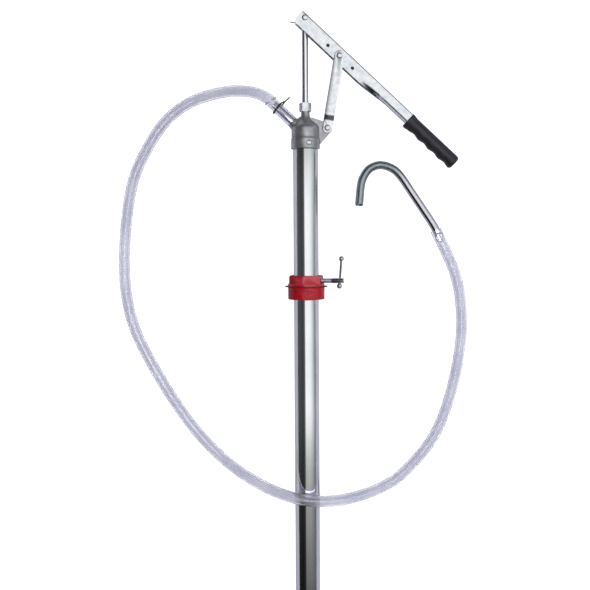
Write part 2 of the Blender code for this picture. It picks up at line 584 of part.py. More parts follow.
def adapter():
    """The bung adapter with its gasket and guide bush, and the clamp screw that grips the tube."""
    root = empty("adapter", matrix=at_station(BUNG_STATION))
    corner = HEX_ACROSS_FLATS / math.sqrt(3)
    # a flat faces the clamp screw
    turn = Matrix.Rotation(SCREW_TURN - math.pi / 2 + math.pi / 6, 4, "Z")
    body = disc("bung_adapter", corner, 0.001, HEX_TOP, RED_PAINT, root, turn, steps=6)
    rounding = turned("hex_chamfer", ((0.0, HEX_TOP + 0.001), (corner - 0.0035, HEX_TOP + 0.001),
                                      (corner + 0.0005, HEX_TOP - 0.0015), (corner + 0.001, -0.001), (0.0, -0.001)),
                      None, root, home=CUTTERS)
    boolean(body, rounding, "INTERSECT")
    neck_top = GAP
    neck_low = -GASKET_THICKNESS - GAP
    skirt = turned("adapter_skirt", ((0.0, HEX_FOOT + 0.0006), (COLLAR_RADIUS - 0.0008, HEX_FOOT + 0.0006),
                                     (COLLAR_RADIUS, HEX_FOOT), (COLLAR_RADIUS, neck_top),
                                     (GASKET_BORE - GAP, neck_top), (GASKET_BORE - GAP, neck_low),
                                     (COLLAR_RADIUS, neck_low), (COLLAR_RADIUS, -0.0052), (THREAD_RADIUS, -0.0060),
                                     (THREAD_RADIUS, -THREAD_LENGTH + 0.0006), (THREAD_RADIUS - 0.0006, -THREAD_LENGTH),
                                     (0.0, -THREAD_LENGTH)), None, root, home=CUTTERS, steps=32)
    join(body, skirt)
    bush_top = -THREAD_LENGTH + 0.002 + BUSH_LENGTH
    bore = turned("adapter_bore", ((0.0, HEX_TOP + 0.01), (ADAPTER_BORE, HEX_TOP + 0.01), (ADAPTER_BORE, bush_top + GAP),
                                   (BUSH_RADIUS + GAP, bush_top + GAP), (BUSH_RADIUS + GAP, -THREAD_LENGTH - 0.01),
                                   (0.0, -THREAD_LENGTH - 0.01)), None, root, home=CUTTERS, steps=32)
    screw_root = empty("clamp_axis", matrix=Matrix.Translation((0.0, BUNG_STATION + SCREW_HEIGHT, 0.0))
                       @ Matrix.Rotation(SCREW_TURN, 4, "Y"))
    screw_hole = disc("screw_hole", SCREW_RADIUS + GAP, 0.015, 0.04, None, screw_root, home=CUTTERS)
    cut(body, bore, screw_hole)
    ring("bung_gasket", GASKET_RADIUS, GASKET_BORE, -GASKET_THICKNESS, 0.0, RED_FIBRE, root, steps=32)
    ring("guide_bush", BUSH_RADIUS, TUBE_RADIUS + GAP, bush_top - BUSH_LENGTH, bush_top, BLACK_RUBBER, root)
    pad_start = TUBE_RADIUS + GAP
    pad_end = pad_start + PAD_THICKNESS
    disc("clamp_pad", SCREW_RADIUS - 0.0004, pad_start, pad_end, BRASS, screw_root, steps=20)
    screw = turned("clamp_screw", ((0.0, SCREW_HEAD_END), (SCREW_HEAD_RADIUS - 0.0012, SCREW_HEAD_END),
                                   (SCREW_HEAD_RADIUS, SCREW_HEAD_END - 0.0012), (SCREW_HEAD_RADIUS, SCREW_HEAD_START),
                                   (SCREW_RADIUS, SCREW_HEAD_START), (SCREW_RADIUS, pad_end + GAP),
                                   (0.0, pad_end + GAP)), STEEL, screw_root, steps=24)
    # local Z of the bar leans from +Y, round the screw's axis
    bar_place = Matrix.Translation((0.0, 0.0, TOMMY_HOLE)) @ Matrix.Rotation(-math.pi / 2, 4, "X")
    lean = Matrix.Rotation(-TOMMY_LEAN, 4, "Z")
    bar_root = empty("tommy_axis", screw_root, lean @ bar_place)
    bar_hole = disc("tommy_hole", TOMMY_RADIUS + GAP, -0.01, 0.01, None, bar_root, home=CUTTERS, steps=16)
    cut(screw, bar_hole)
    ball = TOMMY_BALL_RADIUS
    low_ball = -SCREW_HEAD_RADIUS - ball - GAP
    high_ball = low_ball + TOMMY_SPAN
    lower = [(ball * math.cos(a), low_ball + ball * math.sin(a))
             for a in (math.radians(angle) for angle in range(54, -91, -18))]
    bar_end = high_ball + ball - 0.0015
    turned("tommy_bar", ((0.0, bar_end), (TOMMY_RADIUS, bar_end), (TOMMY_RADIUS, lower[0][1] + 0.0008),
                         *lower[:-1], (0.0, low_ball - ball)), STEEL, bar_root, steps=20)
    upper = [(ball * math.cos(a), high_ball + ball * math.sin(a))
             for a in (math.radians(angle) for angle in range(72, -55, -18))]
    turned("tommy_knob", ((0.0, high_ball + ball), *upper, (TOMMY_RADIUS + GAP, upper[-1][1]),
                          (TOMMY_RADIUS + GAP, bar_end + GAP), (0.0, bar_end + GAP)), STEEL, bar_root, steps=20)


def hose_and_spout():
    """The hose along the surface and over the tube, and the bent spout in its far end."""
    start = spigot_place() @ Vector((0.0, 0.0, SPIGOT_END + GAP))
    outward = (spigot_place().to_3x3() @ Vector((0.0, 0.0, 1.0))).normalized()
    route = [start, start + 0.006 * outward, start + 0.012 * outward]
    route += [Vector((x, BUNG_STATION + y, z)) for x, y, z in HOSE_ROUTE]
    bend = [Vector((x, BUNG_STATION + y, SPOUT_HEIGHT)) for x, y in SPOUT_ROUTE]
    into = (bend[0] - bend[1]).normalized()
    route += [bend[0] + 0.016 * into, bend[0] + 0.008 * into, bend[0] + GAP * into]
    wire("hose", smooth_route(route, 64), HOSE_RADIUS, CLEAR_PVC, None, resolution=2)
    tube = wire("spout", smooth_route(bend, 27), SPOUT_RADIUS, STEEL, None, resolution=2, capped=False)
    tube = solid_of(tube, STEEL)
    shell = tube.modifiers.new("wall", "SOLIDIFY")
    shell.thickness = SPOUT_WALL
    shell.offset = -1.0
    cuff_start = bend[0] - SPOUT_BARB * into
    cuff = Matrix.Translation(cuff_start) @ into.to_track_quat("Z", "Y").to_matrix().to_4x4()
    ring("hose_outlet_end", HOSE_RADIUS + 0.0003, SPOUT_RADIUS + GAP, 0.0, SPOUT_BARB, CLEAR_PVC, None, cuff, steps=24)


head()
barrel(foot())
piston()
lever()
split_pin()
links()
adapter()
hose_tie()
hose_and_spout()
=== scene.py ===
import math

import bmesh
import bpy
from mathutils import Matrix, Vector


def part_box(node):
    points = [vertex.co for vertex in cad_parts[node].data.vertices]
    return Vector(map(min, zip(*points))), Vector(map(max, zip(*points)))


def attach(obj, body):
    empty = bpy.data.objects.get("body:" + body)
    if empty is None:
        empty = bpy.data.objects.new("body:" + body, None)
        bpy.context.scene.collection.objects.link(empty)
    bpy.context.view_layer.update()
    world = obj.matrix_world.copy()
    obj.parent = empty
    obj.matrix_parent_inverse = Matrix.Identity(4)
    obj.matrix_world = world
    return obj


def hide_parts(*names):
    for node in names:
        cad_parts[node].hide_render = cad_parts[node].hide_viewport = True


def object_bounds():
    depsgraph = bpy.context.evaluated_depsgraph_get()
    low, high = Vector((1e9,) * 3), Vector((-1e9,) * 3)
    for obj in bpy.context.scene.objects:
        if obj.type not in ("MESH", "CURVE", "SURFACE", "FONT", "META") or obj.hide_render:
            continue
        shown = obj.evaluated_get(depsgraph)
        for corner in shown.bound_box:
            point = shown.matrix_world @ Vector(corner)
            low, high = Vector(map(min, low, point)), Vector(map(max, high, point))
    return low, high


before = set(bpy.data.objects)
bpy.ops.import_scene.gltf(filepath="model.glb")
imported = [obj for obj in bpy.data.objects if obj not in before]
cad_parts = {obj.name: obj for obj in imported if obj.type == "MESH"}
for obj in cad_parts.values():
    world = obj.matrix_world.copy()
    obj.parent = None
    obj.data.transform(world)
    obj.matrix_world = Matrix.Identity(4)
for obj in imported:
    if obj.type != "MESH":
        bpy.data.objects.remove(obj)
CAD_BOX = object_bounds()

# ---- Camera, floor and light
# The pump lies on a white sheet and is seen from straight above, a little from the head's side.
# Two ramps of the direction make the room that its plated tubes show: dark left, bright above, grey right.
BUNG_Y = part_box("bung_gasket")[1].y  # the sealing face of the adapter, where most places are counted from
FLOOR_Z = CAD_BOX[0][2]
FLOOR_GAP = 0.0004
FLOOR_SIZE = 9.0
PITCH = math.radians(3.8)
ROLL = math.radians(0.38)
DISTANCE = 1.45
aim = Vector((-0.0183, BUNG_Y - 0.0145, 0.0))
back = Vector((0.0, math.sin(PITCH), math.cos(PITCH)))
camera_data = bpy.data.cameras.new("camera")
camera_data.lens = 55.0
camera_data.sensor_width = 36.0
camera = bpy.data.objects.new("camera", camera_data)
camera.location = aim + DISTANCE * back
camera.rotation_euler = (Matrix.Rotation(-PITCH, 3, "X") @ Matrix.Rotation(-ROLL, 3, "Z")).to_euler()
bpy.context.scene.collection.objects.link(camera)
bpy.context.scene.camera = camera
bpy.context.scene.view_settings.view_transform = "Standard"


def linear(code):
    """The linear colour of an sRGB hex code."""
    values = [int(code[index:index + 2], 16) / 255 for index in (0, 2, 4)]
    return (*[v / 12.92 if v <= 0.04045 else ((v + 0.055) / 1.055) ** 2.4 for v in values], 1.0)


def add_node(tree, kind, inputs=None, **settings):
    """A node with its settings made and its inputs linked or set."""
    node = tree.nodes.new(kind)
    for name, value in settings.items():
        setattr(node, name, value)
    for name, value in (inputs or {}).items():
        if isinstance(value, bpy.types.NodeSocket):
            tree.links.new(value, node.inputs[name])
        else:
            node.inputs[name].default_value = value
    return node


def ramp(tree, factor, stops):
    """The colour that the factor picks between the stops, each a place and a colour."""
    node = add_node(tree, "ShaderNodeValToRGB", {"Fac": factor})
    while len(node.color_ramp.elements) < len(stops):
        node.color_ramp.elements.new(1.0)
    for element, (place, colour) in zip(node.color_ramp.elements, stops):
        element.position = place
        element.color = colour
    return node.outputs["Color"]


def grey(value):
    return (value, value, value, 1.0)


world = bpy.data.worlds.new("studio")
bpy.context.scene.world = world
world.use_nodes = True
sky = world.node_tree
sky.nodes.clear()
direction = add_node(sky, "ShaderNodeTexCoord").outputs["Generated"]
split = add_node(sky, "ShaderNodeSeparateXYZ", {"Vector": direction})


def share_along(axis):
    """How far the direction leans along the axis, from 0 to 1."""
    inputs = {0: split.outputs[axis], 1: 0.5, 2: 0.5}
    return add_node(sky, "ShaderNodeMath", inputs, operation="MULTIPLY_ADD").outputs[0]


across = ramp(sky, share_along("X"), (
    (0.0, grey(0.08)), (0.20, (0.042, 0.048, 0.054, 1.0)), (0.35, grey(0.12)), (0.405, grey(1.06)),
    (0.72, grey(1.06)), (0.86, (0.80, 0.86, 0.86, 1.0)), (0.94, (0.54, 0.60, 0.60, 1.0)), (0.975, grey(0.34)),
    (1.0, grey(0.24))))
window = ramp(sky, share_along("Y"), ((0.20, grey(0.10)), (0.34, grey(0.40)), (0.41, grey(1.0)),
                                      (0.68, grey(1.0)), (0.80, grey(0.12))))
room = add_node(sky, "ShaderNodeMix", {0: 1.0, 6: across, 7: window}, data_type="RGBA", blend_type="MULTIPLY")
background = add_node(sky, "ShaderNodeBackground", {"Color": room.outputs[2], "Strength": 1.0})
add_node(sky, "ShaderNodeOutputWorld", {"Surface": background.outputs[0]})


def area_light(name, place, target, width, length, power, colour="ffffff"):
    """A rectangle of light turned to the target, left out of reflections."""
    data = bpy.data.lights.new(name, "AREA")
    data.shape = "RECTANGLE"
    data.size = width
    data.size_y = length
    data.energy = power
    data.color = linear(colour)[:3]
    lamp = bpy.data.objects.new(name, data)
    lamp.location = place
    lamp.rotation_euler = (Vector(target) - Vector(place)).to_track_quat("-Z", "Y").to_euler()
    lamp.visible_glossy = False
    bpy.context.scene.collection.objects.link(lamp)


area_light("overhead", (0.32, BUNG_Y + 0.05, 1.75), (0.22, BUNG_Y, 0.0), 0.62, 1.9, 20.0)
area_light("right_fill", (1.7, BUNG_Y + 0.1, 1.3), (0.0, BUNG_Y, 0.0), 0.8, 1.4, 9.0, "f4f4ff")
area_light("left_fill", (-1.9, BUNG_Y, 1.5), (0.0, BUNG_Y, 0.0), 0.5, 1.8, 9.0, "f6f4ff")

bpy.ops.object.select_all(action="DESELECT")
bpy.ops.mesh.primitive_plane_add(size=FLOOR_SIZE, location=(0.0, BUNG_Y, FLOOR_Z - FLOOR_GAP))
floor = bpy.context.object
floor.name = "floor"
paper = bpy.data.materials.new("floor_paper")
paper.use_nodes = True
paper_shader = paper.node_tree.nodes["Principled BSDF"]
paper_shader.inputs["Base Color"].default_value = (0.50, 0.50, 0.56, 1.0)
paper_shader.inputs["Roughness"].default_value = 0.9
paper_shader.inputs["Specular IOR Level"].default_value = 0.1
paper_shader.inputs["Emission Color"].default_value = linear("fdfdff")
SHOWN_THROUGH_HOSE = 0.62
seen = add_node(paper.node_tree, "ShaderNodeLightPath")
through = add_node(paper.node_tree, "ShaderNodeMath",
                   {0: seen.outputs["Is Transmission Ray"], 1: SHOWN_THROUGH_HOSE}, operation="MULTIPLY")
whole = add_node(paper.node_tree, "ShaderNodeMath", {0: seen.outputs["Is Camera Ray"], 1: through.outputs[0]},
                 operation="MAXIMUM")
paper.node_tree.links.new(whole.outputs[0], paper_shader.inputs["Emission Strength"])
floor.data.materials.append(paper)

# ---- Hose
# Clear PVC tube, 18 mm outside and 13.4 mm inside, pushed over the outlet and over the spout's end.
# It lies on the surface and passes over the suction tube in a long hump.
HOSE_DIAMETER = 0.018
HOSE_BORE = 0.0134
HOSE_STEPS = 330


def finish_of(name, code, roughness, metallic=0.0):
    """A material, its tree and its shader."""
    made = bpy.data.materials.new(name)
    made.use_nodes = True
    shader = made.node_tree.nodes["Principled BSDF"]
    shader.inputs["Base Color"].default_value = linear(code)
    shader.inputs["Roughness"].default_value = roughness
    shader.inputs["Metallic"].default_value = metallic
    return made, made.node_tree, shader


def place_of(tree, scale=(1.0, 1.0, 1.0)):
    """Object coordinates in millimetres, stretched by scale."""
    at = add_node(tree, "ShaderNodeTexCoord").outputs["Object"]
    size = [1000.0 * value for value in scale]
    return add_node(tree, "ShaderNodeMapping", {"Vector": at, "Scale": size}).outputs[0]


def noisy(tree, place, scale, detail=3.0, roughness=0.55):
    """A noise value at the place, with the scale in cycles a millimetre."""
    inputs = {"Vector": place, "Scale": scale, "Detail": detail, "Roughness": roughness}
    return add_node(tree, "ShaderNodeTexNoise", inputs).outputs["Fac"]


def bumped(tree, shader, height, strength, distance):
    """Links the height to the shader's normal."""
    inputs = {"Height": height, "Strength": strength, "Distance": distance}
    bump = add_node(tree, "ShaderNodeBump", inputs)
    tree.links.new(bump.outputs[0], shader.inputs["Normal"])


def clear_pvc():
    """Clear soft PVC with a faint milky haze."""
    made, tree, shader = finish_of("clear_pvc", "e8e8f0", 0.07)
    haze = noisy(tree, place_of(tree), 0.02, 2.0)
    tint = ramp(tree, haze, ((0.3, linear("e3e3ed")), (0.7, linear("efeff5"))))
    tree.links.new(tint, shader.inputs["Base Color"])
    shader.inputs["Transmission Weight"].default_value = 0.88
    shader.inputs["IOR"].default_value = 1.42
    return made


PVC = clear_pvc()


def smooth_route(points, count):
    """The points of a Catmull-Rom curve through the given points, spread evenly over its spans."""
    points = [Vector(point) for point in points]
    padded = [2 * points[0] - points[1], *points, 2 * points[-1] - points[-2]]
    route = []
    for index in range(count):
        place = index * (len(points) - 1) / (count - 1)
        span = min(int(place), len(points) - 2)
        t = place - span
        a, b, c, d = padded[span:span + 4]
        route.append(0.5 * ((2 * b) + (c - a) * t + (2 * a - 5 * b + 4 * c - d) * t**2
                            + (3 * b - a - 3 * c + d) * t**3))
    return route


def moved(piece, matrix=None):
    """Applies the piece's modifiers and moves its mesh by the matrix."""
    bpy.ops.object.select_all(action="DESELECT")
    piece.select_set(True)
    bpy.context.view_layer.objects.active = piece
    for modifier in list(piece.modifiers):
        bpy.ops.object.modifier_apply(modifier=modifier.name)
    if matrix:
        piece.data.transform(matrix)
    return piece


def tidy(piece, matrix=None, angle=35.0):
    """Applies the modifiers, moves the piece's place into its mesh and shades it smooth."""
    moved(piece, matrix)
    bpy.ops.object.shade_smooth_by_angle(angle=math.radians(angle))
    return piece


def pipe(name, points, outer, inner, sides=32):
    """A hollow tube along the points, with open ends."""
    curve = bpy.data.curves.new(name, "CURVE")
    curve.dimensions = "3D"
    curve.bevel_depth = outer
    curve.bevel_resolution = sides // 4
    curve.use_fill_caps = False
    spline = curve.splines.new("POLY")
    spline.points.add(len(points) - 1)
    for point, place in zip(spline.points, points):
        point.co = (*place, 1.0)
    holder = bpy.data.objects.new(f"{name}_line", curve)
    bpy.context.scene.collection.objects.link(holder)
    bpy.context.view_layer.update()
    graph = bpy.context.evaluated_depsgraph_get()
    mesh = bpy.data.meshes.new_from_object(holder.evaluated_get(graph))
    bpy.data.objects.remove(holder, do_unlink=True)
    made = bpy.data.objects.new(name, mesh)
    bpy.context.scene.collection.objects.link(made)
    if inner:
        wall = made.modifiers.new("wall", "SOLIDIFY")
        wall.thickness = outer - inner
        wall.offset = -1.0
    return made


def dress(piece, finish, body, slot, *nodes):
    """Gives the piece its material and its body and hides the CAD nodes that it stands for. The slot is not
    used.
    """
    piece.data.materials.clear()
    piece.data.materials.append(finish)
    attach(piece, body)
    if nodes:
        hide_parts(*nodes)
    return piece


HOSE_ROUTE = (
    (-0.0770, 0.3068, -0.0030), (-0.1039, 0.3115, -0.0085), (-0.1363, 0.3098, -0.0150),
    (-0.1836, 0.2965, -0.0225), (-0.2217, 0.2700, -0.0252), (-0.2510, 0.2310, -0.0256),
    (-0.2779, 0.1761, -0.0256), (-0.2915, 0.1080, -0.0256), (-0.2965, 0.0326, -0.0256),
    (-0.2930, -0.0218, -0.0256), (-0.2810, -0.0711, -0.0256), (-0.2577, -0.1219, -0.0256),
    (-0.2240, -0.1810, -0.0256), (-0.1845, -0.2380, -0.0250), (-0.1440, -0.2810, -0.0215),
    (-0.1086, -0.3065, -0.0095), (-0.0746, -0.3225, 0.0072), (-0.0414, -0.3335, 0.0225),
    (-0.0004, -0.3425, 0.0300), (0.0450, -0.3455, 0.0210), (0.0855, -0.3425, 0.0030),
    (0.1220, -0.3340, -0.0140), (0.1540, -0.3170, -0.0235), (0.1940, -0.2750, -0.0256),
    (0.2190, -0.2330, -0.0256), (0.2380, -0.1770, -0.0256), (0.2500, -0.1200, -0.0256),
    (0.2548, -0.0690, -0.0256), (0.2515, -0.0180, -0.0256), (0.2425, 0.0200, -0.0256),
)  # each point's X, its distance above the bung's sealing face, and its Z
SPOUT_ROUTE = (
    (0.2221, 0.0668), (0.2090, 0.0942), (0.1910, 0.1219), (0.1727, 0.1491), (0.1541, 0.1763),
    (0.1400, 0.1888), (0.1207, 0.1940), (0.1040, 0.1880), (0.0940, 0.1745), (0.0898, 0.1600),
    (0.0868, 0.1275),
)  # X and the distance above the bung's sealing face
SPOUT_Z = -0.0256
SPOUT_REACH = 0.024  # how far the spout's end goes into the hose
SPIGOT_ANGLE = math.radians(46)
SPIGOT_RISE = 0.0225  # where the outlet's axis crosses the tube's, above the head's lower edge
SPIGOT_END = 0.0690
HOSE_START = 0.0288
HEAD_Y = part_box("pump_head")[0].y
outward = Vector((-math.sin(SPIGOT_ANGLE), math.cos(SPIGOT_ANGLE), 0.0))
crossing = Vector((0.0, HEAD_Y + SPIGOT_RISE, 0.0))
spigot_tip = crossing + SPIGOT_END * outward
hose_mouth = crossing + HOSE_START * outward
bend = [Vector((x, BUNG_Y + y, SPOUT_Z)) for x, y in SPOUT_ROUTE]
into = (bend[0] - bend[1]).normalized()
far_mouth = bend[0] - SPOUT_REACH * into
hose_points = [hose_mouth, hose_mouth + 0.012 * outward, hose_mouth + 0.027 * outward, spigot_tip]
hose_points += [spigot_tip + 0.0063 * outward, spigot_tip + 0.0123 * outward]
hose_points += [Vector((x, BUNG_Y + y, z)) for x, y, z in HOSE_ROUTE]
hose_points += [bend[0] + 0.016 * into, bend[0] + 0.008 * into, bend[0], bend[0] - 0.012 * into, far_mouth]
hose_line = smooth_route(hose_points, HOSE_STEPS)
hose = tidy(pipe("hose_tube", hose_line, HOSE_DIAMETER / 2, HOSE_BORE / 2), angle=60.0)
dress(hose, PVC, "barrel", "clear_hose", "hose", "hose_inlet_end", "hose_outlet_end")

# ---- Suction tube
# Drawn steel tube, 40 mm across with a 1.5 mm wall and bright plated. Its upper end goes into the head's
# skirt, where the set screw locks it.
TUBE_WALL = 0.0015
tube_low, tube_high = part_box("suction_tube")


def turned(name, profile, steps=64, bevel=0.0):
    """A closed profile of (radius, height), outer side top to bottom, turned round Z."""
    mesh = bpy.data.meshes.new(name)
    made = bpy.data.objects.new(name, mesh)
    bpy.context.scene.collection.objects.link(made)
    bm = bmesh.new()
    corners = [bm.verts.new((radius, 0.0, height)) for radius, height in profile]
    for first, second in zip(corners, corners[1:]):
        bm.edges.new((first, second))
    if profile[0][0] > 0.0:
        bm.edges.new((corners[-1], corners[0]))
    bm.to_mesh(mesh)
    bm.free()
    screw = made.modifiers.new("turn", "SCREW")
    screw.steps = steps
    screw.render_steps = steps
    screw.use_merge_vertices = True
    screw.merge_threshold = 0.00001
    if bevel:
        edge = made.modifiers.new("edge", "BEVEL")
        edge.width = bevel
        edge.segments = 2
        edge.limit_method = "ANGLE"
        edge.angle_limit = math.radians(40)
    return made


def polished_steel():
    """Bright plated steel, drawn lengthwise."""
    made, tree, shader = finish_of("polished_steel", "ecedf0", 0.12, 1.0)
    drawn = noisy(tree, place_of(tree, (1.0, 0.02, 1.0)), 1.4, 4.0)
    patches = noisy(tree, place_of(tree), 0.012, 3.0)
    rough = add_node(tree, "ShaderNodeMath", {0: drawn, 1: patches}, operation="MULTIPLY")
    values = ramp(tree, rough.outputs[0], ((0.1, grey(0.07)), (0.5, grey(0.19))))
    tree.links.new(values, shader.inputs["Roughness"])
    tint = ramp(tree, patches, ((0.3, linear("e6e7ec")), (0.7, linear("f4f4f6"))))
    tree.links.new(tint, shader.inputs["Base Color"])
    bumped(tree, shader, drawn, 0.05, 0.0001)
    return made


POLISHED = polished_steel()
AXIS = Matrix.Rotation(-math.pi / 2, 4, "X")  # local Z to the pump's axis
tube_radius = tube_high.x
tube_bore = tube_radius - TUBE_WALL
tube_profile = ((tube_radius, tube_high.y), (tube_radius, tube_low.y), (tube_bore, tube_low.y),
                (tube_bore, tube_high.y))
tube = turned("tube_shell", tube_profile, 128, 0.0004)
dress(tidy(tube, AXIS), POLISHED, "barrel", "bright_steel", "suction_tube")


def zinc_plate():
    """Dipped zinc with soft blue and white clouds."""
    made, tree, shader = finish_of("zinc_plate", "d9dde4", 0.26, 1.0)
    mottle = noisy(tree, place_of(tree), 0.16, 4.0, 0.6)
    tint = ramp(tree, mottle, ((0.30, linear("d3dce6")), (0.48, linear("e9ecf0")), (0.72, linear("f6f7f8"))))
    tree.links.new(tint, shader.inputs["Base Color"])
    tree.links.new(ramp(tree, mottle, ((0.3, grey(0.30)), (0.7, grey(0.23)))), shader.inputs["Roughness"])
    return made


ZINC = zinc_plate()

# ---- Foot: strainer, valve seat, disc and guide
# A pressed steel cup with slots closes the lower end, under a turned brass seat with a rubber disc.
# The small pieces inside keep the shape that the CAD gives them and only get their finish.
CROSS_SLOTS = 3  # each cuts both sides of the cup


def brass_finish():
    """Brass with fine turning lines."""
    made, tree, shader = finish_of("turned_brass", "c8a45c", 0.28, 1.0)
    lines = noisy(tree, place_of(tree, (1.0, 6.0, 1.0)), 0.5, 3.0)
    tree.links.new(ramp(tree, lines, ((0.3, grey(0.2)), (0.7, grey(0.38)))), shader.inputs["Roughness"])
    bumped(tree, shader, lines, 0.08, 0.0002)
    return made


def rubber_finish(name, code, roughness, grain):
    """A matt rubber or fibre with a fine grain and a dull bloom."""
    made, tree, shader = finish_of(name, code, roughness)
    speck = noisy(tree, place_of(tree), grain, 4.0)
    bloom = noisy(tree, place_of(tree), 0.07, 3.0)
    tree.links.new(ramp(tree, bloom, ((0.35, grey(roughness - 0.08)), (0.7, grey(roughness + 0.1)))),
                   shader.inputs["Roughness"])
    bumped(tree, shader, speck, 0.25, 0.0003)
    return made


def box_cutter(name, low, high):
    """A block from its low corner to its high corner."""
    bpy.ops.object.select_all(action="DESELECT")
    bpy.ops.mesh.primitive_cube_add(size=1.0)
    made = bpy.context.object
    made.name = name
    size = Vector(high) - Vector(low)
    made.data.transform(Matrix.Translation((Vector(low) + Vector(high)) / 2) @ Matrix.Diagonal((*size, 1.0)))
    return made


def carve(target, tool, operation="DIFFERENCE"):
    """Applies a Boolean with the tool at once and removes the tool."""
    modifier = target.modifiers.new("carve", "BOOLEAN")
    modifier.operation = operation
    modifier.object = tool
    modifier.solver = "EXACT"
    moved(target)
    bpy.data.objects.remove(tool, do_unlink=True)


def soften(piece, width, segments=2, angle=35.0):
    """Adds a bevel to the piece's sharp edges."""
    edge = piece.modifiers.new("edge", "BEVEL")
    edge.width = width
    edge.segments = segments
    edge.limit_method = "ANGLE"
    edge.angle_limit = math.radians(angle)


BRASS = brass_finish()
RUBBER = rubber_finish("black_rubber", "202022", 0.55, 1.2)
cup_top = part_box("foot_strainer")[1].y
cup = turned("strainer_cup", ((tube_radius, cup_top), (tube_radius, 0.003), (tube_radius - 0.0008, 0.0009),
                              (tube_radius - 0.0030, 0.0), (0.0, 0.0), (0.0, 0.003), (0.016, 0.003),
                              (0.018, 0.005), (0.018, cup_top)), 96)
for index in range(CROSS_SLOTS):
    slot_cutter = box_cutter("slot", (-0.03, -0.003, 0.006), (0.03, 0.003, 0.018))
    slot_cutter.data.transform(Matrix.Rotation(index * math.pi / CROSS_SLOTS, 4, "Z"))
    carve(cup, slot_cutter)
soften(cup, 0.0005)
dress(tidy(cup, AXIS), ZINC, "barrel", "zinc_steel", "foot_strainer")
for node, finish in (("foot_valve_seat", BRASS), ("foot_valve_guide", ZINC), ("foot_valve_disc", RUBBER),
                     ("piston_body", BRASS), ("piston_seal", RUBBER), ("piston_valve_disc", RUBBER),
                     ("piston_valve_stop", ZINC), ("piston_nut", ZINC), ("gland_packing", RUBBER),
                     ("guide_bush", RUBBER), ("clamp_pad", BRASS)):
    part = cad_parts[node]
    part.data.materials.clear()
    part.data.materials.append(finish)

# ---- Head
# Grey die casting with a skirt over the tube, an ear for the links, and a boss and a small rib on the
# outlet's side. Its corners are run together as in a casting, and then it is bored.
PIN_HOLE = 0.0033
ROD_BORE = 0.0053
ear_low, ear_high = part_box("link_bottom_pin")
ear_pin = (ear_low + ear_high) / 2
STATION = Matrix.Translation((0.0, HEAD_Y, 0.0)) @ AXIS


def arc(centre, radius, start, end, count):
    """Points on an arc from the start angle to the end angle, in degrees."""
    angles = [math.radians(start + (end - start) * step / (count - 1)) for step in range(count)]
    return [(centre[0] + radius * math.cos(a), centre[1] + radius * math.sin(a)) for a in angles]


def plate(name, outline, low, high):
    """A flat outline in XY, filled, from z = low to z = high."""
    mesh = bpy.data.meshes.new(name)
    made = bpy.data.objects.new(name, mesh)
    bpy.context.scene.collection.objects.link(made)
    bm = bmesh.new()
    face = bm.faces.new([bm.verts.new((x, y, low)) for x, y in outline])
    raised = bmesh.ops.extrude_face_region(bm, geom=[face])
    up = [item for item in raised["geom"] if isinstance(item, bmesh.types.BMVert)]
    bmesh.ops.translate(bm, vec=(0.0, 0.0, high - low), verts=up)
    bmesh.ops.recalc_face_normals(bm, faces=bm.faces)
    bm.to_mesh(mesh)
    bm.free()
    return made


def drill(target, radius, low, high, matrix=None):
    """Cuts a round hole along local Z of the matrix."""
    bit = turned("drill", ((0.0, high), (radius, high), (radius, low), (0.0, low)), 32)
    carve(target, moved(bit, matrix))


def cast_metal():
    """Grey cast alloy, a little rough."""
    made, tree, shader = finish_of("cast_metal", "b0b0b4", 0.34, 0.85)
    grain = noisy(tree, place_of(tree), 1.3, 5.0, 0.7)
    cloud = noisy(tree, place_of(tree), 0.10, 3.0)
    tint = ramp(tree, cloud, ((0.30, linear("a6a6aa")), (0.55, linear("b8b8bc")), (0.75, linear("c8c8cc"))))
    tree.links.new(tint, shader.inputs["Base Color"])
    tree.links.new(ramp(tree, grain, ((0.3, grey(0.30)), (0.7, grey(0.42)))), shader.inputs["Roughness"])
    bumped(tree, shader, grain, 0.22, 0.0003)
    return made


CAST = cast_metal()
dome = [(0.0222 - 0.0062 * (1 - math.cos(a)), 0.0295 + 0.009 * math.sin(a))
        for a in [0.13 * step for step in range(11)]]
head_profile = ((0.0, 0.066), (0.0066, 0.066), (0.0068, 0.0535), (0.0078, 0.0490), (0.0103, 0.0441),
                *dome[::-1], (0.0222, 0.0181), (0.0214, 0.0173), (0.0214, 0.0168), (0.0230, 0.0160),
                (0.0230, 0.0), (0.0, 0.0))
casting = moved(turned("head_casting", head_profile, 96), STATION)
ear_y = ear_pin.y - HEAD_Y
ear_outline = [(0.0, 0.0490), (0.0108, 0.0490), (0.0250, 0.0440)]
ear_outline += arc((ear_pin.x, ear_y), 0.0085, 60, -60, 17) + [(0.0237, 0.0077), (0.0, 0.0077)]
lift = Matrix.Translation((0.0, HEAD_Y, 0.0))
carve(casting, moved(plate("ear", ear_outline, -0.005, 0.005), lift), "UNION")
rib_outline = [(-0.004, 0.0440), (-0.004, 0.0530), (-0.0120, 0.0485), (-0.0170, 0.0400), (-0.0100, 0.0300)]
carve(casting, moved(plate("rib", rib_outline, -0.002, 0.002), lift), "UNION")
OUTLET = Matrix.Translation(crossing) @ Matrix.Rotation(SPIGOT_ANGLE, 4, "Z") @ AXIS
boss = turned("boss", ((0.0, 0.0285), (0.0087, 0.0285), (0.0106, 0.016), (0.0106, 0.004), (0.0, 0.004)), 48)
carve(casting, moved(boss, OUTLET), "UNION")
fillet = casting.modifiers.new("fillet", "REMESH")
fillet.mode = "VOXEL"
fillet.voxel_size = 0.00055
blend = casting.modifiers.new("blend", "SMOOTH")
blend.factor = 0.5
blend.iterations = 7
moved(casting)
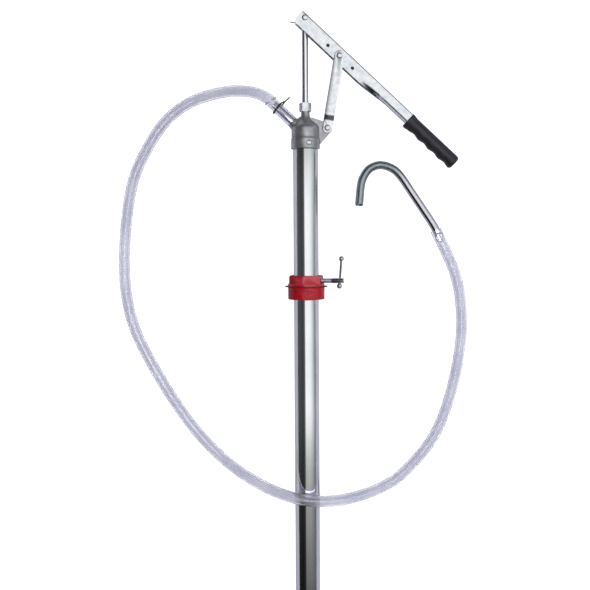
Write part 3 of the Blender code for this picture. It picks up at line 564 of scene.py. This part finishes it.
hollow = turned("hollow", ((0.0, 0.043), (ROD_BORE, 0.043), (0.0155, 0.030), (0.0165, 0.0113),
                           (0.0203, 0.0113), (0.0203, -0.01), (0.0, -0.01)), 96)
carve(casting, moved(hollow, STATION))
drill(casting, ROD_BORE, 0.03, 0.08, STATION)
drill(casting, 0.0068, 0.006, 0.04, OUTLET)
drill(casting, PIN_HOLE, -0.02, 0.02, Matrix.Translation(ear_pin))
LOCK = Matrix.Translation((0.0, HEAD_Y + 0.0080, 0.0)) @ Matrix.Rotation(math.radians(13), 4, "Y")
drill(casting, 0.0046, 0.0207, 0.03, LOCK)
dress(tidy(casting), CAST, "barrel", "grey_casting", "pump_head")

# ---- Set screw and outlet tube
# A slotted steel screw in the head's skirt holds the suction tube. The outlet is a short plated tube, pressed
# in the boss, that the hose is pushed on.
SPIGOT_RADIUS = 0.0065
SPIGOT_INSIDE = 0.0053
SPIGOT_FOOT = 0.019
lock_screw = turned("lock_screw", ((0.0, 0.0238), (0.0030, 0.0238), (0.0036, 0.0234), (0.0036, 0.0207),
                                   (0.0, 0.0207)), 32)
carve(lock_screw, box_cutter("slot", (-0.006, -0.0005, 0.0228), (0.006, 0.0005, 0.03)))
dress(tidy(lock_screw, LOCK), ZINC, "barrel", "zinc_steel", "head_set_screw")
spigot_profile = ((SPIGOT_RADIUS, SPIGOT_END), (SPIGOT_RADIUS, SPIGOT_FOOT), (SPIGOT_INSIDE, SPIGOT_FOOT),
                  (SPIGOT_INSIDE, SPIGOT_END))
spigot = turned("outlet_tube", spigot_profile, 48, 0.0003)
dress(tidy(spigot, OUTLET), POLISHED, "barrel", "bright_steel", "outlet_spigot")

# ---- Packing nut
# Hexagon nut, 16.6 mm across its flats, turned down at both ends and zinc plated. It is screwed on the head's
# neck and presses the packing round the rod.
NUT_ACROSS = 0.0166
nut_corner = NUT_ACROSS / math.sqrt(3)
nut = turned("gland_nut", ((0.0, 0.0721), (nut_corner, 0.0721), (nut_corner, 0.0583), (0.0, 0.0583)), 6)
cone = ((0.0, 0.0731), (nut_corner - 0.0014, 0.0731), (nut_corner, 0.0711), (nut_corner, 0.0593),
        (nut_corner - 0.0010, 0.0580), (0.0, 0.0580))
carve(nut, turned("cone", cone, 96), "INTERSECT")
drill(nut, ROD_BORE, 0.05, 0.08)
drill(nut, 0.0069, 0.05, 0.0704)
soften(nut, 0.00025)
dress(tidy(nut, STATION), ZINC, "barrel", "zinc_steel", "packing_nut")

# ---- Wire tie
# One turn of black coated wire round the hose where it sits on the outlet. Its ends are bent away and left
# as two tails.
WIRE_RADIUS = 0.0011
HOSE_ON_OUTLET = 0.0095  # the stretched hose's radius
WIRE = rubber_finish("coated_wire", "060607", 0.7, 0.8)
TIE = OUTLET @ Matrix.Translation((0.0, 0.0, 0.0590))
tie_radius = HOSE_ON_OUTLET + WIRE_RADIUS
tie_turn = [(tie_radius * math.cos(a), tie_radius * math.sin(a), 0.0026 * a / math.tau)
            for a in [math.radians(step) for step in range(0, 361, 6)]]
tie_points = [(tie_radius + 0.0145, -0.0016, -0.0006), (tie_radius + 0.0060, -0.0020, 0.0002),
              (tie_radius + 0.0010, -0.0022, 0.0), *tie_turn, (tie_radius + 0.0012, 0.0022, 0.0026),
              (tie_radius + 0.0056, 0.0030, 0.0008)]
tie = tidy(pipe("wire_tie", [TIE @ Vector(point) for point in tie_points], WIRE_RADIUS, 0.0, 12), angle=60.0)
dress(tie, WIRE, "barrel", "black_wire", "hose_tie")

# ---- Piston rod
# Ground steel rod, 10 mm, that runs through the packing down to the piston. Its upper end is a flattened eye
# that sits between the lever's cheeks.
ROD_RADIUS = 0.005
rod_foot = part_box("piston_rod")[0].y
pin_low, pin_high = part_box("rod_pin_front")
rod_pin = Vector(((pin_low.x + pin_high.x) / 2, (pin_low.y + pin_high.y) / 2, 0.0))
rod_profile = ((0.0, rod_pin.y - 0.005), (0.0046, rod_pin.y - 0.005), (ROD_RADIUS, rod_pin.y - 0.010),
               (ROD_RADIUS, rod_foot + 0.0005), (0.0045, rod_foot), (0.0, rod_foot))
rod = moved(turned("rod_bar", rod_profile, 64), AXIS)
eye = turned("eye", ((0.0, 0.0035), (0.0071, 0.0035), (0.0075, 0.0031), (0.0075, -0.0031), (0.0071, -0.0035),
                     (0.0, -0.0035)), 48)
carve(rod, moved(eye, Matrix.Translation(rod_pin)), "UNION")
drill(rod, PIN_HOLE, -0.02, 0.02, Matrix.Translation(rod_pin))
dress(tidy(rod), POLISHED, "rod", "bright_steel", "piston_rod")

# ---- Lever
# Pressed steel channel, 2 mm and zinc plated, on the rod's pin and the links' pin. Its cheeks curl inward
# toward the grip, where they close to a handle. The front cheek has two spare holes.
top_low, top_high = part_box("link_top_pin")
link_pin = (top_low + top_high) / 2
link_pin.z = 0.0
ROD_HOLE = Vector((0.0098, -0.0062, 0.0))
LINK_HOLE = Vector((0.0897, -0.0128, 0.0))
dip = math.atan2(*(link_pin - rod_pin).yx) - math.atan2(*(LINK_HOLE - ROD_HOLE).yx)
LEVER = Matrix.Translation(link_pin) @ Matrix.Rotation(dip, 4, "Z") @ Matrix.Translation(-LINK_HOLE)
CHEEK = 0.009
CREASE = 0.0143
LIP = 0.0078
GRIP_START = 0.237
LEVER_START = -0.002
LEVER_STEPS = 80
SHEET = 0.0019
SPARE_HOLES = ((0.0657, -0.0133), (0.1181, -0.0131))


def lever_section(x):
    """The outer line of one half section, from the middle of the web to the edge of the lip, as (z, y)."""
    curl = min(max((x - 0.126) / 0.072, 0.0), 1.0)
    curl = curl * curl * (3 - 2 * curl)
    angle = math.radians(62) * curl
    line = [(0.0, 0.0), (0.0035, 0.0), (0.0064, 0.0)]
    line += [(0.0064 + 0.0026 * math.sin(a), -0.0026 * (1 - math.cos(a))) for a in (0.4, 0.8, 1.2, 1.5708)]
    line += [(CHEEK, -0.0055), (CHEEK, -0.0090), (CHEEK, -0.0120)]
    for step in range(7):
        reach = LIP * step / 6
        tilt = angle * min(1.0, 0.35 + step / 5)
        line.append((CHEEK - reach * math.sin(tilt), -CREASE + 0.0009 * (step == 0) - reach * math.cos(tilt)))
    return line


mesh = bpy.data.meshes.new("lever_channel")
lever = bpy.data.objects.new("lever_channel", mesh)
bpy.context.scene.collection.objects.link(lever)
bm = bmesh.new()
rows = []
for step in range(LEVER_STEPS + 1):
    x = LEVER_START + (GRIP_START - LEVER_START) * step / LEVER_STEPS
    half = lever_section(x)
    whole = [(-z, y) for z, y in half[:0:-1]] + half
    rows.append([bm.verts.new((x, y, z)) for z, y in whole])
for first, second in zip(rows, rows[1:]):
    for index in range(len(first) - 1):
        bm.faces.new((first[index], first[index + 1], second[index + 1], second[index]))
bm.normal_update()
bm.faces.ensure_lookup_table()
if bm.faces[len(rows[0]) // 2].normal.y < 0:
    bmesh.ops.reverse_faces(bm, faces=bm.faces)
bm.to_mesh(mesh)
bm.free()
sheet = lever.modifiers.new("sheet", "SOLIDIFY")
sheet.thickness = SHEET
sheet.offset = -1.0
sheet.use_even_offset = True
moved(lever)
trim = [(0.0, 0.001), (GRIP_START + 0.01, 0.001), (GRIP_START + 0.01, -0.0186), (0.200, -0.0190),
        (0.150, -0.0226), (0.120, -0.0222), (0.030, -0.0232)]
trim += arc((0.0085, -0.0155), 0.0085, -80, -180, 13)
carve(lever, plate("trim", trim, -0.02, 0.02), "INTERSECT")
carve(lever, box_cutter("mouth", (-0.01, -0.0035, -0.0068), (0.035, 0.01, 0.0068)))
for place in (ROD_HOLE, LINK_HOLE):
    drill(lever, PIN_HOLE, -0.02, 0.02, Matrix.Translation(place))
for x, y in SPARE_HOLES:
    drill(lever, 0.0028, 0.0, 0.02, Matrix.Translation((x, y, 0.0)))
soften(lever, 0.00025, 1)
dress(tidy(lever, LEVER, 30.0), ZINC, "lever", "zinc_steel", "lever")

# ---- Grip
# Moulded black sleeve pushed on the handle, with a collar at its mouth. Shallow waves for the fingers run
# along its underside.
GRIP_FINISH = rubber_finish("grip_rubber", "26242a", 0.42, 0.9)
GRIP_LENGTH = 0.102
GRIP_RADIUS = 0.0118
GRIP_INSIDE = 0.0086
COLLAR = 0.0129
NOSE = 0.005
FINGER_PITCH = 0.0215
FINGER_DEPTH = 0.17
HANDLE_Y = -0.0112  # the handle's middle, below the channel's web
grip_end = GRIP_START + GRIP_LENGTH
HANDLE = Matrix.Translation((0.0, HANDLE_Y, 0.0)) @ Matrix.Rotation(math.pi / 2, 4, "Y")
nose = [(GRIP_RADIUS - NOSE * (1 - math.cos(a)), grip_end - NOSE * (1 - math.sin(a)))
        for a in [0.2618 * step for step in range(7)]]
barrel_line = [(GRIP_RADIUS, GRIP_START + 0.010 + 0.0028 * step) for step in range(32)]
grip_profile = ((0.0, grip_end), *nose[::-1], *barrel_line[::-1], (0.0124, GRIP_START + 0.0075),
                (COLLAR, GRIP_START + 0.0058), (COLLAR, GRIP_START + 0.0010), (0.0124, GRIP_START + 0.0003),
                (GRIP_INSIDE, GRIP_START + 0.0003), (GRIP_INSIDE, grip_end - 0.0032),
                (0.0, grip_end - 0.0032))
grip = moved(turned("grip_sleeve", grip_profile, 64), HANDLE)
for vertex in grip.data.vertices:
    x, y, z = vertex.co
    y -= HANDLE_Y
    radius = math.hypot(y, z)
    if radius > 0.0112 and x > GRIP_START + 0.010:
        under = max(0.0, -y / radius)
        wave = 0.5 - 0.5 * math.cos(math.tau * (x - GRIP_START - 0.012) / FINGER_PITCH)
        shrink = 1.0 - FINGER_DEPTH * under**1.3 * wave
        vertex.co = (x, HANDLE_Y + y * shrink, z * shrink)
dress(tidy(grip, LEVER), GRIP_FINISH, "lever", "black_grip", "grip")

# ---- Links and pins
# Two joggled steel plates between the head's ear and the lever, zinc plated, on riveted pins at both ends.
# The rod hangs on two short studs in the lever's cheeks, the back one held by a split pin.
run = link_pin - Vector((ear_pin.x, ear_pin.y, 0.0))
LINK = Matrix.Translation((ear_pin.x, ear_pin.y, 0.0)) @ Matrix.Rotation(math.atan2(-run.x, run.y), 4, "Z")
link_length = run.length
LINK_HALF = 0.0080
FOOT_IN = 0.0053
TOP_IN = 0.0093
LINK_SHEET = 0.0025


def flank(out):
    """The inner or outer line of a joggled plate, as (along, out), with eased bends."""
    ease = [(0.011 + 0.010 * t, out + (TOP_IN - FOOT_IN) * t * t * (3 - 2 * t))
            for t in [step / 8 for step in range(9)]]
    return [(-LINK_HALF - 0.001, out), *ease, (link_length + LINK_HALF + 0.001, out + TOP_IN - FOOT_IN)]


STAND = Matrix(((0, 0, 1, 0), (1, 0, 0, 0), (0, 1, 0, 0), (0, 0, 0, 1)))
plan = arc((0.0, 0.0), LINK_HALF, 180, 360, 25) + arc((0.0, link_length), LINK_HALF, 0, 180, 25)
for name, node, sign in (("link_plate_front", "link_front", 1), ("link_plate_back", "link_back", -1)):
    outline = [(a, sign * b) for a, b in flank(FOOT_IN) + flank(FOOT_IN + LINK_SHEET)[::-1]]
    strip = moved(plate(name, outline, -0.012, 0.012), STAND)
    carve(strip, plate("plan", plan, -0.02, 0.02), "INTERSECT")
    drill(strip, PIN_HOLE, -0.02, 0.02)
    drill(strip, PIN_HOLE, -0.02, 0.02, Matrix.Translation((0.0, link_length, 0.0)))
    soften(strip, 0.0004)
    dress(tidy(strip, LINK), ZINC, "link", "zinc_steel", node)


def domed(top, radius=0.0047, height=0.0014):
    """A rivet's head as profile points, from its middle to its rim and in to the shank."""
    arch = [(radius * math.sin(a), top + height * math.cos(a) ** 0.8)
            for a in [0.2618 * step for step in range(6)]]
    return [*arch, (radius, top + 0.0002), (radius, top), (0.0030, top)]


for name, node, body, place, reach in (
        ("link_foot_rivet", "link_bottom_pin", "link", LINK, FOOT_IN + LINK_SHEET + 0.0003),
        ("link_top_rivet", "link_top_pin", "link", LINK @ Matrix.Translation((0.0, link_length, 0.0)),
         TOP_IN + LINK_SHEET + 0.0003)):
    crown = domed(reach)
    rivet = turned(name, (*crown, *[(radius, -height) for radius, height in crown[::-1]]), 40)
    dress(tidy(rivet, place), ZINC, body, "zinc_steel", node)
ROD_PIN = LEVER @ Matrix.Translation(ROD_HOLE)
front_stud = turned("rod_stud_front", (*domed(0.0093), (0.0030, 0.0038), (0.0, 0.0038)), 40)
dress(tidy(front_stud, ROD_PIN), ZINC, "lever", "zinc_steel", "rod_pin_front")
back_stud = turned("rod_stud_back", ((0.0, 0.0153), (0.0038, 0.0153), (0.0047, 0.0145), (0.0047, 0.0093),
                                     (0.0030, 0.0093), (0.0030, 0.0038), (0.0, 0.0038)), 40)
moved(back_stud, ROD_PIN @ Matrix.Rotation(math.pi, 4, "X"))
SPLIT = LEVER @ Matrix.Translation(ROD_HOLE + Vector((0.0, 0.0, -0.0132)))
SPLIT_ANGLE = math.radians(236)
leg = Vector((math.cos(SPLIT_ANGLE), math.sin(SPLIT_ANGLE), 0.0))
drill(back_stud, 0.0014, -0.02, 0.02, SPLIT @ Matrix.Rotation(SPLIT_ANGLE, 4, "Z")
      @ Matrix.Rotation(math.pi / 2, 4, "Y"))
dress(tidy(back_stud), ZINC, "lever", "zinc_steel", "rod_pin_back")
reach = 0.0059
split_points = [-reach * leg, reach * leg, (reach + 0.008) * leg + Vector((0.0, 0.0, 0.0010)),
                (reach + 0.012) * leg + Vector((-0.0010, 0.0, 0.0030)),
                (reach + 0.016) * leg + Vector((-0.0025, 0.0, 0.0050))]
split_pin = pipe("split_pin_wire", [SPLIT @ point for point in split_points], 0.0010, 0.0, 16)
tidy(split_pin, angle=60.0)
dress(split_pin, ZINC, "lever", "zinc_steel", "split_pin")

# ---- Bung adapter
# Red painted casting, a hexagon over a threaded collar, that slides and turns on the tube. A thin fibre
# washer lies under its hexagon and seals on the bung.
HEX_ACROSS = 0.050
BUNG_BORE = 0.0206
THREAD_TURNS = 6
THREAD_PITCH = 0.0023
BUNG = Matrix.Translation((0.0, BUNG_Y, 0.0)) @ AXIS
SCREW_TURN = math.radians(77.5)


def red_paint():
    """Gloss red, with a painted pale pink highlight on its sharp edges."""
    made, tree, shader = finish_of("red_paint", "a81c2c", 0.30)
    cloud = noisy(tree, place_of(tree), 0.12, 4.0)
    orange_peel = noisy(tree, place_of(tree), 0.7, 2.0)
    tint = ramp(tree, cloud, ((0.3, linear("8c0c18")), (0.55, linear("a51222")), (0.75, linear("b01c2c"))))
    edges = add_node(tree, "ShaderNodeNewGeometry").outputs["Pointiness"]
    # painted highlight: the sharp edges, found by pointiness, are mixed toward pale pink
    painted_edge_highlight = ramp(tree, edges, ((0.52, grey(0.0)), (0.62, grey(0.30))))
    mix = add_node(tree, "ShaderNodeMix", {0: painted_edge_highlight, 6: tint, 7: linear("d8606c")}, data_type="RGBA")
    tree.links.new(mix.outputs[2], shader.inputs["Base Color"])
    shader.inputs["Specular IOR Level"].default_value = 0.35
    shader.inputs["Coat Weight"].default_value = 0.2
    shader.inputs["Coat Roughness"].default_value = 0.2
    bumped(tree, shader, orange_peel, 0.12, 0.0004)
    return made


RED = red_paint()
hex_corner = HEX_ACROSS / math.sqrt(3)
hexagon = ((0.0, 0.0172), (hex_corner, 0.0172), (hex_corner, 0.001), (0.0, 0.001))
adapter = moved(turned("adapter_casting", hexagon, 6),
                Matrix.Rotation(SCREW_TURN - math.pi / 2 + math.pi / 6, 4, "Z"))
crown = ((0.0, 0.0182), (hex_corner - 0.0045, 0.0182), (hex_corner + 0.0005, 0.0150),
         (hex_corner + 0.0005, -0.001), (0.0, -0.001))
carve(adapter, turned("crown", crown, 128), "INTERSECT")
thread = []
for turn in range(THREAD_TURNS):
    base = -0.0062 - THREAD_PITCH * turn
    thread += [(0.0298, base), (0.0298, base - 0.0006), (0.0288, base - 0.0012), (0.0288, base - 0.0017)]
skirt = [(0.0, 0.0040), (0.0285, 0.0040), (0.0293, 0.0034), (0.0293, -0.0052), *thread, (0.0298, -0.0200),
         (0.0290, -0.0212), (0.0, -0.0212)]
carve(adapter, turned("skirt", skirt, 128), "UNION")
bore = ((0.0, 0.03), (BUNG_BORE, 0.03), (BUNG_BORE, -0.0049), (0.0248, -0.0049), (0.0248, -0.03),
        (0.0, -0.03))
carve(adapter, turned("bore", bore, 96))
CLAMP = Matrix.Translation((0.0, BUNG_Y + 0.0086, 0.0)) @ Matrix.Rotation(SCREW_TURN, 4, "Y")
moved(adapter, BUNG)
drill(adapter, 0.0043, 0.015, 0.04, CLAMP)
soften(adapter, 0.0004)
dress(tidy(adapter, None, 40.0), RED, "adapter", "red_paint", "bung_adapter")
FIBRE = rubber_finish("red_fibre", "58161c", 0.6, 1.0)
gasket_profile = ((0.0346, 0.0), (0.0346, -0.0012), (0.0299, -0.0012), (0.0299, 0.0))
gasket = turned("gasket_ring", gasket_profile, 128, 0.0003)
dress(tidy(gasket, BUNG), FIBRE, "adapter", "red_fibre", "bung_gasket")

# ---- Clamp screw and tommy bar
# M8 zinc-plated screw that presses a brass pad on the tube and so holds the adapter. It is turned by a loose
# bar through its head, with a fixed ball on one end and a screwed one on the other.
SCREW_PITCH = 0.00125
SCREW_TURNS = 14
TOMMY_HOLE = 0.0546
TOMMY_LEAN = math.radians(-24)
TOMMY_SPAN = 0.047
TOMMY_RADIUS = 0.0020
BALL = 0.0044
ridges = []
for turn in range(SCREW_TURNS):
    base = 0.0414 - SCREW_PITCH * turn
    ridges += [(0.0040, base), (0.0035, base - 0.0006)]
screw = turned("clamp_screw_bar", ((0.0, 0.0610), (0.0036, 0.0610), (0.0044, 0.0601), (0.0044, 0.0428),
                                   (0.0041, 0.0420), *ridges, (0.0040, 0.0222), (0.0, 0.0222)), 48)
BAR = (CLAMP @ Matrix.Rotation(TOMMY_LEAN, 4, "Z") @ Matrix.Translation((0.0, 0.0, TOMMY_HOLE))
       @ Matrix.Rotation(-math.pi / 2, 4, "X"))
moved(screw, CLAMP)
drill(screw, 0.0023, -0.01, 0.01, BAR)
dress(tidy(screw), ZINC, "clamp", "zinc_steel", "clamp_screw")
low_ball = -0.0091
high_ball = low_ball + TOMMY_SPAN
lower = [(BALL * math.cos(a), low_ball + BALL * math.sin(a))
         for a in [math.radians(angle) for angle in range(60, -90, -10)]]
bar_profile = ((0.0, high_ball + 0.0028), (TOMMY_RADIUS, high_ball + 0.0028),
               (TOMMY_RADIUS, lower[0][1] + 0.0003), *lower, (0.0, low_ball - BALL))
bar = turned("bar_with_ball", bar_profile, 40)
dress(tidy(bar, BAR), ZINC, "tommy", "zinc_steel", "tommy_bar")
upper = [(BALL * math.cos(a), high_ball + BALL * math.sin(a))
         for a in [math.radians(angle) for angle in range(80, -60, -10)]]
knob_profile = ((0.0, high_ball + BALL), *upper, (0.0023, upper[-1][1]), (0.0023, high_ball + 0.0031),
                (0.0, high_ball + 0.0031))
knob = turned("screwed_ball", knob_profile, 40)
dress(tidy(knob, BAR), ZINC, "tommy", "zinc_steel", "tommy_knob")

# ---- Spout
# Bent steel tube, 13.4 mm, with a slanted cut on the end that is pushed into the hose. The bend is rougher
# than the straight stretch, and its colour is made darker there as painted shade.
SPOUT_RADIUS = 0.0067
SPOUT_INSIDE = 0.0055


def tube_with_painted_bend_shade():
    """Rougher where the tube was bent, with its colour darker there as painted shade; bright where it is
    straight.
    """
    made, tree, shader = finish_of("tube_with_painted_bend_shade", "a9adb3", 0.2, 1.0)
    scale = noisy(tree, place_of(tree), 0.25, 4.0)
    spot = add_node(tree, "ShaderNodeSeparateXYZ", {"Vector": place_of(tree)}).outputs["X"]
    limits = {"Value": spot, "From Min": 142.0, "From Max": 166.0}
    bend_shade_and_rough_mask = add_node(tree, "ShaderNodeMapRange", limits).outputs[0]
    # painted shade: the bend's colours are darker than the straight stretch's, mixed in by the X mask
    painted_bend_shade = ramp(tree, scale, ((0.3, linear("9fa9b0")), (0.7, linear("b8c1c8"))))
    straight = ramp(tree, scale, ((0.3, linear("cccdd6")), (0.7, linear("dedee4"))))
    mix = add_node(tree, "ShaderNodeMix", {0: bend_shade_and_rough_mask, 6: painted_bend_shade, 7: straight}, data_type="RGBA")
    tree.links.new(mix.outputs[2], shader.inputs["Base Color"])
    tree.links.new(ramp(tree, bend_shade_and_rough_mask, ((0.0, grey(0.36)), (1.0, grey(0.16)))), shader.inputs["Roughness"])
    bumped(tree, shader, noisy(tree, place_of(tree), 1.5, 3.0), 0.05, 0.0001)
    return made


BEND_SHADED_STEEL = tube_with_painted_bend_shade()
BARB = Matrix.Translation(bend[0]) @ into.to_track_quat("Z", "Y").to_matrix().to_4x4()
spout = pipe("spout_tube", smooth_route(bend, 140), SPOUT_RADIUS, SPOUT_INSIDE)
mitre = box_cutter("mitre", (-0.03, -0.03, 0.0), (0.03, 0.03, 0.06))
carve(spout, moved(mitre, BARB @ Matrix.Translation((0.0, 0.0, -0.010))
                   @ Matrix.Rotation(math.radians(-50), 4, "X")))
end = (bend[-1] - bend[-2]).normalized()
MOUTH = Matrix.Translation(bend[-1] - 0.0025 * end) @ end.to_track_quat("Z", "Y").to_matrix().to_4x4()
slant = box_cutter("slant", (-0.02, -0.02, 0.0), (0.02, 0.02, 0.02))
carve(spout, moved(slant, MOUTH @ Matrix.Rotation(math.radians(-18), 4, "X")))
spout = tidy(spout, angle=50.0)
dress(spout, BEND_SHADED_STEEL, "barrel", "bright_steel", "spout")
